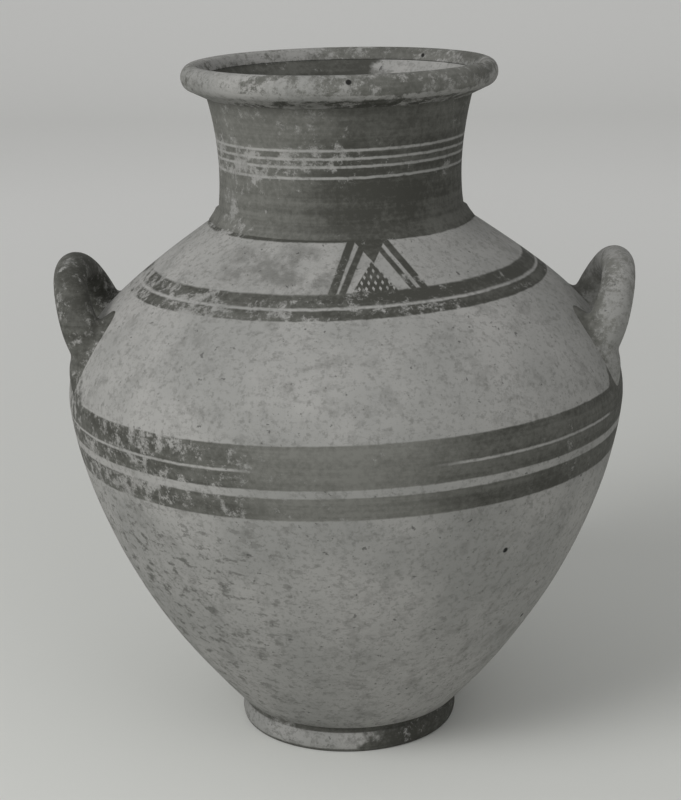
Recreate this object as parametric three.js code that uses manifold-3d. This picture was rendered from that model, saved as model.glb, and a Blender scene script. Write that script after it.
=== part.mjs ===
// A two-handled storage jar of fired clay, as the members that a potter forms one by one and lutes together.
// Sizes are in millimetres. The jar stands on z = 0 with its axis on +Z, and its handles lie along X.
import * as THREE from 'three';
import { mergeVertices } from 'three/addons/utils/BufferGeometryUtils.js';
import Module from 'manifold-3d';

const wasm = await Module();
wasm.setup();

// Facets round the jar, and steps along a curve of the wall
const facetsAround = 36;
const lowerWallSteps = 9;
const shoulderSteps = 9;
const neckSteps = 4;
const lipSteps = 7;
const lipInnerSteps = 2;
const mouldingSteps = 5;

// Seam of slip between two luted members
const slipSeam = 0.3;

// Foot ring
const footHeight = 26;
const footRestRadius = 98;
const footWidestRadius = 102;
const footMouldingTop = 19;
const footGrooveRadius = 98.6;
const footTopRadius = 100.5;
const footBoreRadius = 84;
const footRestInset = 5;
const footBoreTaperHeight = 12;

// Lower wall, with the floor
const wallThickness = 10;
const baseRadius = 104.5;
const baseAngle = THREE.MathUtils.degToRad(47);
const basePull = 199;
const bellyLowerPull = 17;
const bellyRadius = 253.4;
const bellyHeight = 322;
const bossDepth = 12;
const bossRimDepth = 6;
const floorThickness = 14;

// Lap between the lower and the upper wall, at the widest part
const bellyLapHeight = 6;

// Upper wall and shoulder
const bellyUpperPull = 68;
const shoulderAngle = THREE.MathUtils.degToRad(35.3);
const shoulderPull = 84;
const shoulderTopHeight = 485.5;

// Neck
const neckFootRadius = 110;
const neckFootHeight = 9.5;
const neckWaistRadius = 108.5;
const neckWaistHeight = 517;
const neckTopRadius = 118;
const neckTopHeight = 591;
const neckTopAngle = THREE.MathUtils.degToRad(62);
const neckWall = 9;
const neckSpigotWall = 4.5;
const neckSpigotLength = 7;
const mouthEdgeHeight = 609;
const mouthEdgeWidth = 6.5;

// Coil pressed into the corner between the neck and the shoulder
const collarHeight = 8.5;
const collarReach = 8;
const collarBulge = 1.2;

// Rim, a thick lip round and over the mouth of the neck
const jarHeight = 620;
const lipHalfHeight = 11;
const lipHalfWidth = 9.3;
const lipRadius = 131;
const lipUndersideAngle = THREE.MathUtils.degToRad(-75);
const lipInnerAngle = THREE.MathUtils.degToRad(128);

// Handles, each a rolled coil bent to an upward loop
const handleThickness = 30.4;
const handleHalfSpan = 64;
const handleReach = 51.5;
const handleCant = THREE.MathUtils.degToRad(69.8);
const handleHeight = 386;
const handleRootAngle = THREE.MathUtils.degToRad(24);
const handleSteps = 18;
const handleSides = 10;

// Pads where the coil's ends were pressed and smeared on the wall
const padHeight = 373;
const padHalfWidth = 21;
const padHalfLength = 33;
const padThickness = 11;
const padSides = 12;
const padRings = 8;

// Colours of the clay and of the worn dark paint
const clayColour = 0x969693;
const paintColour = 0x45453f;
const wornColour = 0x6f6f6b;
const clayRoughness = 0.9;
const paintRoughness = 0.75;

const point = (radius, height) => new THREE.Vector2(radius, height);
const material = (color, roughness) => new THREE.MeshStandardMaterial({ color, roughness, metalness: 0 });

// Outline of the lower wall, from its base to the belly
const lowerWall = new THREE.CubicBezierCurve(
  point(baseRadius, footHeight),
  point(baseRadius + basePull * Math.cos(baseAngle), footHeight + basePull * Math.sin(baseAngle)),
  point(bellyRadius, bellyHeight - bellyLowerPull),
  point(bellyRadius, bellyHeight),
);

// Outline of the upper wall, from the belly to the foot of the neck
const upperWall = new THREE.CubicBezierCurve(
  point(bellyRadius, bellyHeight),
  point(bellyRadius, bellyHeight + bellyUpperPull),
  point(
    neckFootRadius + shoulderPull * Math.cos(shoulderAngle),
    shoulderTopHeight - shoulderPull * Math.sin(shoulderAngle),
  ),
  point(neckFootRadius, shoulderTopHeight),
);

// Points along a wall curve, moved along its outward normal
function wallPoints(curve, steps, shift) {
  const points = [];
  for (let i = 0; i <= steps; i += 1) {
    const tangent = curve.getTangent(i / steps);
    const outward = point(tangent.y, -tangent.x);
    points.push(curve.getPoint(i / steps).addScaledVector(outward, shift));
  }
  return points;
}

// Points of an ellipse between two angles
function ellipsePoints(centre, halfWidth, halfHeight, from, to, steps) {
  const points = [];
  for (let i = 0; i <= steps; i += 1) {
    const angle = from + ((to - from) * i) / steps;
    points.push(point(centre.x + halfWidth * Math.cos(angle), centre.y + halfHeight * Math.sin(angle)));
  }
  return points;
}

// Twice the signed area of a closed outline, positive when it runs anticlockwise
function turning(points) {
  return points.reduce((sum, p, i) => sum + p.cross(points[(i + 1) % points.length]), 0);
}

// A solid of revolution from a closed outline of radius and height
function turned(outline) {
  const points = turning(outline) > 0 ? [...outline] : [...outline].reverse();
  const geometry = new THREE.LatheGeometry([...points, points[0].clone()], facetsAround);
  return geometry.rotateX(Math.PI / 2);
}

// The same from an outline that starts and ends on the axis
function turnedFull(outline) {
  const points = turning(outline) > 0 ? outline : [...outline].reverse();
  return new THREE.LatheGeometry(points, facetsAround).rotateX(Math.PI / 2);
}

// Closed mesh to solid, and back
function solid(geometry) {
  const bare = geometry.clone();
  bare.deleteAttribute('normal');
  bare.deleteAttribute('uv');
  const merged = mergeVertices(bare, 1e-4);
  return new wasm.Manifold(new wasm.Mesh({
    numProp: 3,
    vertProperties: Float32Array.from(merged.attributes.position.array),
    triVerts: Uint32Array.from(merged.index.array),
  }));
}

function toGeometry(shape) {
  const mesh = shape.getMesh();
  const geometry = new THREE.BufferGeometry();
  geometry.setAttribute('position', new THREE.BufferAttribute(mesh.vertProperties, 3));
  geometry.setIndex(new THREE.BufferAttribute(mesh.triVerts, 1));
  geometry.computeVertexNormals();
  return geometry;
}

function footRing() {
  const moulding = new THREE.CubicBezierCurve(
    point(footRestRadius, 0),
    point(footWidestRadius + 1, 0),
    point(footWidestRadius + 1, footMouldingTop),
    point(footGrooveRadius, footMouldingTop + 1),
  );
  const top = footHeight - slipSeam;
  return turned([
    ...moulding.getPoints(mouldingSteps),
    point(footTopRadius, top),
    point(footBoreRadius, top),
    point(footBoreRadius, footBoreTaperHeight),
    point(footBoreRadius - footRestInset, 0),
  ]);
}

function lowerBody() {
  const inner = wallPoints(lowerWall, lowerWallSteps, -wallThickness).reverse();
  const lapRadius = bellyRadius - wallThickness / 2;
  const lapTop = bellyHeight + bellyLapHeight;
  const boss = footBoreRadius - slipSeam;
  const bossBottom = footHeight - bossDepth;
  return turnedFull([
    point(0, bossBottom),
    point(boss * 0.6, bossBottom + 1),
    point(boss, footHeight - bossRimDepth),
    point(boss, footHeight),
    ...wallPoints(lowerWall, lowerWallSteps, 0),
    point(lapRadius, bellyHeight),
    point(lapRadius, lapTop),
    point(bellyRadius - wallThickness, lapTop),
    ...inner,
    point(0, bossBottom + floorThickness),
  ]);
}

function upperBody() {
  const lapRadius = bellyRadius - wallThickness / 2 + slipSeam;
  const seat = bellyHeight + slipSeam;
  const lapTop = seat + bellyLapHeight;
  const openingRadius = neckFootRadius - neckWall + neckSpigotWall + slipSeam;
  const outer = wallPoints(upperWall, shoulderSteps, 0).slice(1);
  const inner = wallPoints(upperWall, shoulderSteps, -wallThickness)
    .filter((p) => p.y > lapTop && p.x > openingRadius);
  const last = inner[inner.length - 1];
  const drop = (last.x - openingRadius) * Math.tan(shoulderAngle);
  return turned([
    point(lapRadius, seat),
    point(bellyRadius, seat),
    ...outer,
    point(openingRadius, shoulderTopHeight),
    point(openingRadius, last.y + drop),
    ...inner.reverse(),
    point(bellyRadius - wallThickness, lapTop),
    point(lapRadius, lapTop),
  ]);
}

// Outline of the outer face of the neck, from the top of its straight foot to the lip
const neckFace = new THREE.CubicBezierCurve(
  point(neckFootRadius, shoulderTopHeight + neckFootHeight),
  point(neckWaistRadius - 1.2, neckWaistHeight),
  point(
    neckTopRadius - (neckTopHeight - neckWaistHeight) * 0.5 / Math.tan(neckTopAngle) * 0.5,
    neckTopHeight - (neckTopHeight - neckWaistHeight) * 0.5,
  ),
  point(neckTopRadius, neckTopHeight),
);

function neck() {
  const seat = shoulderTopHeight + slipSeam;
  const boreRadius = neckFootRadius - neckWall;
  const spigotRadius = boreRadius + neckSpigotWall;
  const flare = (mouthEdgeHeight - neckTopHeight) / Math.tan(neckTopAngle);
  const mouthRadius = neckTopRadius + flare;
  return turned([
    point(boreRadius, seat - neckSpigotLength),
    point(spigotRadius, seat - neckSpigotLength),
    point(spigotRadius, seat),
    point(neckFootRadius, seat),
    ...wallPoints(neckFace, neckSteps, 0),
    point(mouthRadius, mouthEdgeHeight),
    point(mouthRadius - mouthEdgeWidth, mouthEdgeHeight),
    ...wallPoints(neckFace, neckSteps, -neckWall).reverse(),
  ]);
}

function neckCollar() {
  const inner = neckFootRadius + slipSeam;
  const seam = slipSeam / Math.cos(shoulderAngle);
  const corner = shoulderTopHeight + seam - slipSeam * Math.tan(shoulderAngle);
  const tip = point(inner + collarReach, corner - collarReach * Math.tan(shoulderAngle));
  const top = point(inner, corner + collarHeight);
  const middle = top.clone().add(tip).multiplyScalar(0.5);
  const outward = point(top.y - tip.y, tip.x - top.x).normalize();
  return turned([
    point(inner, corner),
    tip,
    middle.addScaledVector(outward, collarBulge),
    top,
  ]);
}

function rim() {
  const centre = point(lipRadius, jarHeight - lipHalfHeight);
  const crown = Math.PI / 2;
  const outer = ellipsePoints(centre, lipHalfWidth, lipHalfHeight, lipUndersideAngle, crown, lipSteps);
  const inner = ellipsePoints(centre, lipHalfWidth, lipHalfHeight, crown, lipInnerAngle, lipInnerSteps);
  const flare = (mouthEdgeHeight - neckTopHeight) / Math.tan(neckTopAngle);
  const mouthRadius = neckTopRadius + flare;
  const seam = slipSeam / Math.sin(neckTopAngle);
  return turned([
    point(neckTopRadius + seam, neckTopHeight),
    ...outer,
    ...inner.slice(1),
    point(mouthRadius - mouthEdgeWidth, mouthEdgeHeight + slipSeam),
    point(mouthRadius + seam, mouthEdgeHeight + slipSeam),
    point(mouthRadius + seam, mouthEdgeHeight),
  ]);
}

// The loop of a handle at +X: half an ellipse in a canted plane, run on past its ends into the wall
class HandleLoop extends THREE.Curve {
  getPoint(t, target = new THREE.Vector3()) {
    const angle = -handleRootAngle + t * (Math.PI + 2 * handleRootAngle);
    const rise = handleReach * Math.sin(angle);
    return target.set(
      handleRootRadius + rise * Math.cos(handleCant),
      handleHalfSpan * Math.cos(angle),
      handleHeight + rise * Math.sin(handleCant),
    );
  }
}

// Radius and slope of the upper wall at a height
function upperWallAt(height) {
  let low = 0;
  let high = 1;
  for (let i = 0; i < 40; i += 1) {
    const middle = (low + high) / 2;
    if (upperWall.getPoint(middle).y < height) low = middle;
    else high = middle;
  }
  const tangent = upperWall.getTangent(low);
  return { radius: upperWall.getPoint(low).x, lean: Math.atan2(-tangent.x, tangent.y) };
}

const handleRootRadius = upperWallAt(handleHeight).radius;

function handleCoil() {
  const section = new THREE.Shape().absarc(0, 0, handleThickness / 2, 0, 2 * Math.PI);
  const outline = new THREE.Shape(section.getPoints(handleSides).slice(0, -1));
  return new THREE.ExtrudeGeometry(outline, { extrudePath: new HandleLoop(), steps: handleSteps });
}

function rootPad(side) {
  const { radius, lean } = upperWallAt(padHeight);
  const azimuth = side * Math.asin(handleHalfSpan / radius);
  return new THREE.SphereGeometry(1, padSides, padRings)
    .scale(padThickness, padHalfWidth, padHalfLength)
    .rotateY(-lean)
    .translate(radius, 0, padHeight)
    .rotateZ(azimuth);
}

// Everything inside the outer face of the upper wall, grown by the slip seam
function wallCore() {
  const below = point(bellyRadius + slipSeam, bellyHeight - padHalfLength);
  return turnedFull([
    point(0, below.y),
    below,
    ...wallPoints(upperWall, shoulderSteps, slipSeam),
    point(0, shoulderTopHeight + slipSeam),
  ]);
}

function handle(turn) {
  const shape = solid(handleCoil())
    .add(solid(rootPad(1)))
    .add(solid(rootPad(-1)))
    .subtract(solid(wallCore()));
  return toGeometry(shape).rotateZ(turn);
}

const jar = new THREE.Group();

function addMember(name, geometry, finish) {
  const mesh = new THREE.Mesh(geometry, finish);
  mesh.name = name;
  jar.add(mesh);
}

const clay = material(clayColour, clayRoughness);
const paint = material(paintColour, paintRoughness);
const worn = material(wornColour, paintRoughness);

addMember('foot_ring', footRing(), worn.clone());
addMember('lower_body', lowerBody(), clay.clone());
addMember('upper_body', upperBody(), clay.clone());
addMember('neck', neck(), paint.clone());
addMember('neck_collar', neckCollar(), paint.clone());
addMember('rim', rim(), worn.clone());
addMember('right_handle', handle(0), worn.clone());
addMember('left_handle', handle(Math.PI), worn.clone());

export default jar;
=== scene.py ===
"""A two-handled storage jar of fired clay with worn dark slip bands, on a plain pale floor."""
import math

import bmesh
import bpy
from mathutils import Matrix, Vector, noise


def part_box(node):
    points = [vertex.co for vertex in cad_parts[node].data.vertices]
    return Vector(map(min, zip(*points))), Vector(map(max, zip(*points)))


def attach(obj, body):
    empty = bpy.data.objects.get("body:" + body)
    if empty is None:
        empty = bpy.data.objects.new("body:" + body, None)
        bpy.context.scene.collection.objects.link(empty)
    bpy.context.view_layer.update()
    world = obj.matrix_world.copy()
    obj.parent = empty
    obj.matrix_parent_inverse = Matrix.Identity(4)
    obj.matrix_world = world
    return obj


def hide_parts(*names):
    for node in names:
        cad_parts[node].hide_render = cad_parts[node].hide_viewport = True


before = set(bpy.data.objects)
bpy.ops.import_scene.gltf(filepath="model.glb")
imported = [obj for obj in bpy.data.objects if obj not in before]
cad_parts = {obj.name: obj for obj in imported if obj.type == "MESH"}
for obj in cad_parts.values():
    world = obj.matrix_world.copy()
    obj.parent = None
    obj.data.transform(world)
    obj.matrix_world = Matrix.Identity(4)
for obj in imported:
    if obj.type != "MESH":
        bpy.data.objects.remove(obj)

bl_info = {
    "name": "Two-handled storage jar",
    "version": (1, 0, 0),
    "blender": (4, 5, 0),
    "location": "View3D > Sidebar > Jar",
    "description": "Builds a turned and painted clay storage jar, member by member",
    "category": "Add Mesh",
}

MM = 0.001
SMOOTH = {"interpolation_type": "SMOOTHSTEP"}
# What a mask runs between
RISE = (0.0, 1.0)
FALL = (1.0, 0.0)

# Seam of slip between two luted members, as in the solids
SEAM = 0.3 * MM
HAIRLINE = 0.01 * MM
SOFT_CORNER = 1 * MM
SHARP_CORNER = math.radians(50)

# Foot
REST_RADIUS = 98 * MM
REST_INSET = 5 * MM
BORE_RADIUS = 84 * MM
BORE_TAPER = 12 * MM
MOULDING_TOP = 19 * MM
MOULDING_PULL = 1 * MM
GROOVE_RADIUS = 98.6 * MM
FOOT_TOP_RADIUS = 100.5 * MM

# Lower wall, whose floor is let into the foot as a shallow boss
BASE_RADIUS = 104.5 * MM
BASE_ANGLE = math.radians(47)
BASE_PULL = 199 * MM
BELLY_LOWER_PULL = 17 * MM
BOSS_BOTTOM = 14 * MM
BOSS_RISE = 1 * MM
BOSS_FLAT_RADIUS = 50 * MM
BOSS_EDGE = 20 * MM
FLOOR_TOP = 28 * MM
BELLY_LAP = 6 * MM

# Upper wall
BELLY_UPPER_PULL = 68 * MM
SHOULDER_ANGLE = math.radians(35.3)
SHOULDER_PULL = 84 * MM

# Neck
NECK_FOOT = 9.5 * MM
NECK_WAIST_RADIUS = 107.3 * MM
NECK_WAIST = 31.5 * MM
NECK_FLARE_RADIUS = 108.2 * MM
NECK_FLARE = 68.5 * MM
NECK_TOP_RADIUS = 118 * MM
NECK_TOP = 105.5 * MM
NECK_THICKNESS = 9 * MM
SPIGOT_LENGTH = 7 * MM
SPIGOT_WALL = 4.5 * MM
MOUTH_RADIUS = 127.5 * MM
MOUTH_EDGE_WIDTH = 6.5 * MM
LIP_OVERHANG = 0.4 * MM

# Coil pressed round the neck's seam: its outline outwards and up from the seat, and a nub towards each handle
COIL_BITE = 0.5 * MM
COIL_OUTLINE = ((0, 8 * MM), (1.6 * MM, 3 * MM), (4 * MM, 0), (8.3 * MM, -6 * MM))
COIL_HEEL = -1 * MM
NUB = 2.5 * MM
NUB_EDGE = 0.995

# Lip, an oval roll on the mouth's edge
LIP_RADIUS = 131 * MM
LIP_HALF_WIDTH = 9.3 * MM
LIP_HALF_HEIGHT = 11 * MM
LIP_FROM = -75
LIP_SWEEP = 203
LIP_STEPS = 28

# Handles, each a coil bent to half an oval that leans out from the wall
HANDLE_HEIGHT = 386 * MM
HANDLE_HALF_SPAN = 64 * MM
HANDLE_REACH = 51.5 * MM
HANDLE_CANT = math.radians(69.8)
HANDLE_BURIED = 16
HANDLE_SWEEP = 212
HANDLE_STEPS = 40
HANDLE_SIDES = 28
ROOT_SWELL = 0.14
SMEAR_HEIGHT = 373 * MM
SMEAR_HALF_WIDTH = 27 * MM
SMEAR_HALF_LENGTH = 42 * MM
SMEAR_LIFT = 11.5 * MM
SMEAR_FEATHER = 1.6 * MM
BURIED_DEPTH = 4.5 * MM
LUMP_VOXEL = 2 * MM
RUBBINGS = 9

# Unevenness of a jar made by hand
SWELL = 1.1 * MM
DENT = 0.35 * MM
NECK_LEAN = -1.8 * MM
FOOT_LEAN = -2.3 * MM
LIP_TILT = math.radians(0.33)

# Edges of the slip's bands, as heights above the floor, and how far each leans across the jar in degrees
BELLY_BAND = (302.3 * MM, 339.8 * MM)
BELLY_LINE = (317.0 * MM, 319.2 * MM)
LOWER_BAND = (274.9 * MM, 295.1 * MM)
BELLY_LEAN = 1.1
UPPER_RING = (436.1 * MM, 444.9 * MM)
LOWER_RING = (427.4 * MM, 434.3 * MM)
SHOULDER_LEAN = 1.4
NECK_SLIP_EDGE = (478.2 * MM, 479.4 * MM)
NECK_SLIP_LEAN = 0.5
NECK_LINES = (555.3 * MM, 548.1 * MM, 541.2 * MM, 531.8 * MM)
NECK_LINE_HALF = 1.1 * MM
NECK_LINE_LEAN = 0.6
BELLY_SHAKE = 1.2 * MM
SHOULDER_SHAKE = 0.8 * MM
NECK_SHAKE = 0.7 * MM
BRUSH_EDGE = 0.8 * MM
FINE_EDGE = 0.6 * MM

# The front's triangle: each bar's foot and top across and up from the middle of its base, and half its width
TRIANGLE_AZIMUTH = -79.5
TRIANGLE_BASE = 444 * MM
TRIANGLE_BARS = (
    ((-39.5 * MM, -1 * MM), (-12.5 * MM, 37 * MM), 2.9 * MM),
    ((-31.2 * MM, -1 * MM), (-4.5 * MM, 33 * MM), 2.4 * MM),
    ((32.5 * MM, 1 * MM), (6.5 * MM, 34 * MM), 2.1 * MM),
    ((44.5 * MM, -2 * MM), (14 * MM, 37 * MM), 2.7 * MM),
)
LATTICE_TOP = 26 * MM
LATTICE_PITCH = 5.8 * MM
LATTICE_LEAN = 0.75

# Slip that ran out under each handle: how far out it starts, and between which heights
RUN_EDGE = (228.5 * MM, 232.5 * MM)
RUN_HEIGHTS = (318 * MM, 402 * MM)
RUN_FADE = 6 * MM

# Slip and painted shade elsewhere: painted shade on the left half of the neck's inside, slip and painted
# shade in the foot's groove, and painted shade under the foot and on its right
NECK_INSIDE_SHADE_EDGE = (35 * MM, 20 * MM)
FOOT_GROOVE_EDGE = (18.5 * MM, 19.5 * MM)
FOOT_UNDER_SHADE = (-1 * MM, 3.5 * MM)
FOOT_SHADE_SIDE_EDGE = (0 * MM, 20 * MM)

# Where wear starts and where it is full, as places across the jar
SOIL_SIDE = (60 * MM, -200 * MM)
BODY_FLAKED = (20 * MM, -200 * MM)
NECK_FLAKED = (30 * MM, -90 * MM)
NECK_LINES_FLAKED = (60 * MM, -30 * MM)
NECK_FADED = (40 * MM, -90 * MM)
LIP_FLAKED = (30 * MM, -100 * MM)
LEFT_HANDLE_FLAKED = (-262 * MM, -274 * MM)
LEFT_HANDLE_FADED = (-235 * MM, -270 * MM)
RIGHT_HANDLE_FLAKED = (200 * MM, 250 * MM)
RIGHT_HANDLE_FADED = (205 * MM, 240 * MM)
FOOT_FLAKED = (50 * MM, -80 * MM)
# The foot's slip darkens towards the right as painted shade
FOOT_FADED_TO_SHADE = (60 * MM, 0 * MM)

# The same as heights, or as a zone between two of them, and windows of the front as four azimuths in degrees
SOIL_HEIGHT = (300 * MM, 220 * MM)
SHOULDER_START = (400 * MM, 420 * MM)
BELLY_END = (400 * MM, 380 * MM)
NECK_LINES_ZONE = (528 * MM, 558 * MM)
NECK_LINES_FADE = 8 * MM
NECK_TOP_FADED = (545 * MM, 575 * MM)
# Zone of the painted highlight along the lip's lower edge
LIP_EDGE_HIGHLIGHT = (599.5 * MM, 603.5 * MM)
# Where the painted shade under the lip gives way to faded slip
LIP_SHADE_EDGE = (598 * MM, 602 * MM)
LINE_OVERPAINTED = (-112, -104, -74, -66)
BELLY_FADED = (-113, -104, -78, -62)

# Oval marks as azimuth in degrees, height, half width in radians and half height, and round pits of the lip
SMUDGE = (-108, 459 * MM, 0.6, 22 * MM)
BODY_CHIPS = (
    (-54.4, 228 * MM, 0.014, 3.2 * MM),
    (-33.3, 134.7 * MM, 0.014, 2.6 * MM),
)
LIP_PITS = (
    ((95 * MM, 86 * MM, 614.5 * MM), 5.2 * MM),
    ((77 * MM, 106 * MM, 619.5 * MM), 3.0 * MM),
    ((75 * MM, 98 * MM, 614.0 * MM), 2.6 * MM),
    ((8.5 * MM, -138 * MM, 615.0 * MM), 3.0 * MM),
)

# Light and camera, in metres and watts, with the lens and its film in millimetres
WORLD_STRENGTH = 0.42
WINDOW_PLACE = (-1.9, -2.0, 2.3)
WINDOW_POWER = 62
WINDOW_SIZE = 1.6
WINDOW_TARGET = (0, 0, 0.3)
FILL_PLACE = (1.2, -2.4, 2.2)
FILL_POWER = 11
FILL_SIZE = 2.0
FILL_TARGET = (0, 0, 0.5)
CAMERA_PLACE = (0.0328, -1.7059, 0.7793)
CAMERA_TARGET = (0, 0, 0.3084)
CAMERA_ROLL = math.radians(-0.93)
CAMERA_LENS = 85.93
CAMERA_SENSOR = 36
CAMERA_SHIFT = -0.0075
CARD_HALF_WIDTH = 7
CARD_SWEEP = ((4.6, 0.0), (5.8, 0.0), (6.6, 0.8), (6.6, 4.5))
CARD_FALL_OFF = (0.4, 3.6)


def solid_size(node, corner, axis, seam=0.0):
    """One coordinate of a solid's lowest corner (0) or highest one (1), to a tenth of a millimetre."""
    return round(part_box(node)[corner][axis] + seam, 4)


def length(name, description, default):
    """A property for a size in metres."""
    words = {"name": name, "description": description}
    return bpy.props.FloatProperty(default=default, subtype="DISTANCE", unit="LENGTH", **words)


def colour(name, description, default):
    """A property for an sRGB hex colour."""
    return bpy.props.StringProperty(name=name, description=description, default=default)


class JarSizes(bpy.types.PropertyGroup):
    """Sizes of the jar that the solids share"""

    belly_radius: length("Belly radius", "Radius at the widest part", solid_size("upper_body", 1, 1))
    belly_height: length("Belly height", "Height of the widest part", solid_size("upper_body", 0, 2, -SEAM))
    foot_radius: length("Foot radius", "Radius of the foot's rounded moulding", 102 * MM)
    foot_height: length("Foot height", "Height of the foot", solid_size("foot_ring", 1, 2, SEAM))
    shoulder_height: length("Shoulder height", "Height of the neck's seam", solid_size("upper_body", 1, 2))
    neck_radius: length("Neck radius", "Outer radius of the neck at its seam", 110 * MM)
    jar_height: length("Jar height", "Height of the lip above the floor", solid_size("rim", 1, 2))
    wall: length("Wall", "Thickness of the body's wall", 10 * MM)
    coil: length("Handle coil", "Thickness of a handle's rolled coil", 30.4 * MM)


class JarColours(bpy.types.PropertyGroup):
    """Colours of the clay and the slip, as sRGB hex"""

    clay: colour("Clay", "Bare fired clay", "8f8f8c")
    clay_light: colour("Light clay", "Clay rubbed clean", "a09f9c")
    clay_dark: colour("Dark clay", "Soot and soil in the clay", "5f5f5b")
    slip: colour("Slip", "Dark slip paint where it is whole", "41413c")
    slip_faded: colour("Faded slip", "Slip that has worn thin", "74746f")
    pit: colour("Pit", "Open pits, pores and chips", "1c1c1a")
    floor: colour("Floor", "Plain pale card under the jar", "dadbd7")
    floor_far: colour("Far floor", "The card behind the jar, where the light falls off", "fffffd")


def linear(hex_colour):
    """An sRGB hex colour as linear RGBA."""
    parts = [int(hex_colour[i:i + 2], 16) / 255 for i in (0, 2, 4)]
    return tuple(c / 12.92 if c <= 0.04045 else ((c + 0.055) / 1.055) ** 2.4 for c in parts) + (1.0,)


def points(*pairs):
    """Pairs of radius and height as points of an outline."""
    return [Vector(pair) for pair in pairs]


def cubic(p0, p1, p2, p3, steps):
    """Points along a cubic curve of (radius, height)."""
    a, b, c, d = points(p0, p1, p2, p3)
    curve = []
    for i in range(steps + 1):
        t = i / steps
        s = 1 - t
        curve.append(s ** 3 * a + 3 * s * s * t * b + 3 * s * t * t * c + t ** 3 * d)
    return curve


def inset(outline, distance):
    """An open outline moved inwards along its normal."""
    moved = []
    last = len(outline) - 1
    for i, p in enumerate(outline):
        along = (outline[min(i + 1, last)] - outline[max(i - 1, 0)]).normalized()
        moved.append(p - Vector((along.y, -along.x)) * distance)
    return moved


def softened(outline, radius):
    """A closed outline whose corners are rounded."""
    rounded = []
    for i, p in enumerate(outline):
        before = outline[i - 1] - p
        after = outline[(i + 1) % len(outline)] - p
        cut = min(radius, before.length * 0.45, after.length * 0.45)
        a = p + before.normalized() * cut
        b = p + after.normalized() * cut
        nearly_straight = before.normalized().dot(after.normalized()) < -0.9
        if nearly_straight:
            rounded.append(p)
        else:
            rounded += [a, a * 0.25 + p * 0.5 + b * 0.25, b]
    return rounded


def lower_wall(sizes, steps=40):
    """Outer outline of the wall from its base to the belly, in metres."""
    base = (BASE_RADIUS, sizes.foot_height)
    pulled = (base[0] + BASE_PULL * math.cos(BASE_ANGLE), base[1] + BASE_PULL * math.sin(BASE_ANGLE))
    below_belly = (sizes.belly_radius, sizes.belly_height - BELLY_LOWER_PULL)
    return cubic(base, pulled, below_belly, (sizes.belly_radius, sizes.belly_height), steps)


def upper_wall(sizes, steps=40):
    """Outer outline of the wall from the belly to the neck, in metres."""
    belly = (sizes.belly_radius, sizes.belly_height)
    above_belly = (sizes.belly_radius, sizes.belly_height + BELLY_UPPER_PULL)
    end = (sizes.neck_radius, sizes.shoulder_height)
    out = SHOULDER_PULL * math.cos(SHOULDER_ANGLE)
    down = SHOULDER_PULL * math.sin(SHOULDER_ANGLE)
    return cubic(belly, above_belly, (end[0] + out, end[1] - down), end, steps)


def neck_wall(sizes, steps=20):
    """Outer outline of the neck, in metres."""
    seam = sizes.shoulder_height
    foot = (sizes.neck_radius, seam + NECK_FOOT)
    waist = (NECK_WAIST_RADIUS, seam + NECK_WAIST)
    flare = (NECK_FLARE_RADIUS, seam + NECK_FLARE)
    return cubic(foot, waist, flare, (NECK_TOP_RADIUS, seam + NECK_TOP), steps)


def wall_radius(sizes, height):
    """Radius and outward normal of the upper wall at a height."""
    outline = upper_wall(sizes)
    for a, b in zip(outline, outline[1:]):
        if b.y >= height:
            share = (height - a.y) / (b.y - a.y)
            along = (b - a).normalized()
            return a.x + (b.x - a.x) * share, Vector((along.y, -along.x))
    raise ValueError("the height is above the shoulder")


def held(value):
    """A value kept between nought and one."""
    return min(max(value, 0), 1)


def handmade(point):
    """A point of the true form moved by the small unevenness of a jar turned and lifted by hand."""
    on_neck = held((point.z - 0.43) / 0.07)
    on_foot = held((0.06 - point.z) / 0.05)
    on_lip = held((point.z - 0.5) / 0.09)
    above_rest = min(point.z / 0.02, 1)
    outward = Vector((point.x, point.y, 0)).normalized()
    swell = noise.noise(point * 7) * SWELL + noise.noise(point * 22 + Vector((5, 5, 5))) * DENT
    lean = Vector((NECK_LEAN * on_neck + FOOT_LEAN * on_foot, 0, point.x * math.tan(LIP_TILT) * on_lip))
    return point + outward * swell * above_rest + lean


def finish_piece(mesh, name, node, material):
    """Makes a bmesh a smooth, slightly uneven object that rides on the jar in place of its solid."""
    for vert in mesh.verts:
        vert.co = handmade(vert.co)
    bmesh.ops.recalc_face_normals(mesh, faces=mesh.faces)
    for face in mesh.faces:
        face.smooth = True
    data = bpy.data.meshes.new(name)
    mesh.to_mesh(data)
    mesh.free()
    data.set_sharp_from_angle(angle=SHARP_CORNER)
    data.materials.append(material)
    piece = bpy.data.objects.new(name, data)
    bpy.context.scene.collection.objects.link(piece)
    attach(piece, "root")
    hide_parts(node)


def spun(outline, closed=True, steps=144):
    """A bmesh turned round the jar's axis from an outline of (radius, height)."""
    mesh = bmesh.new()
    verts = [mesh.verts.new((p.x, 0, p.y)) for p in outline]
    edges = [mesh.edges.new(pair) for pair in zip(verts, verts[1:])]
    if closed:
        edges.append(mesh.edges.new((verts[-1], verts[0])))
    bmesh.ops.spin(
        mesh, geom=verts + edges, cent=(0, 0, 0), axis=(0, 0, 1), dvec=(0, 0, 0),
        angle=2 * math.pi, steps=steps, use_merge=True,
    )
    bmesh.ops.remove_doubles(mesh, verts=mesh.verts, dist=1e-6)
    return mesh


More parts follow.
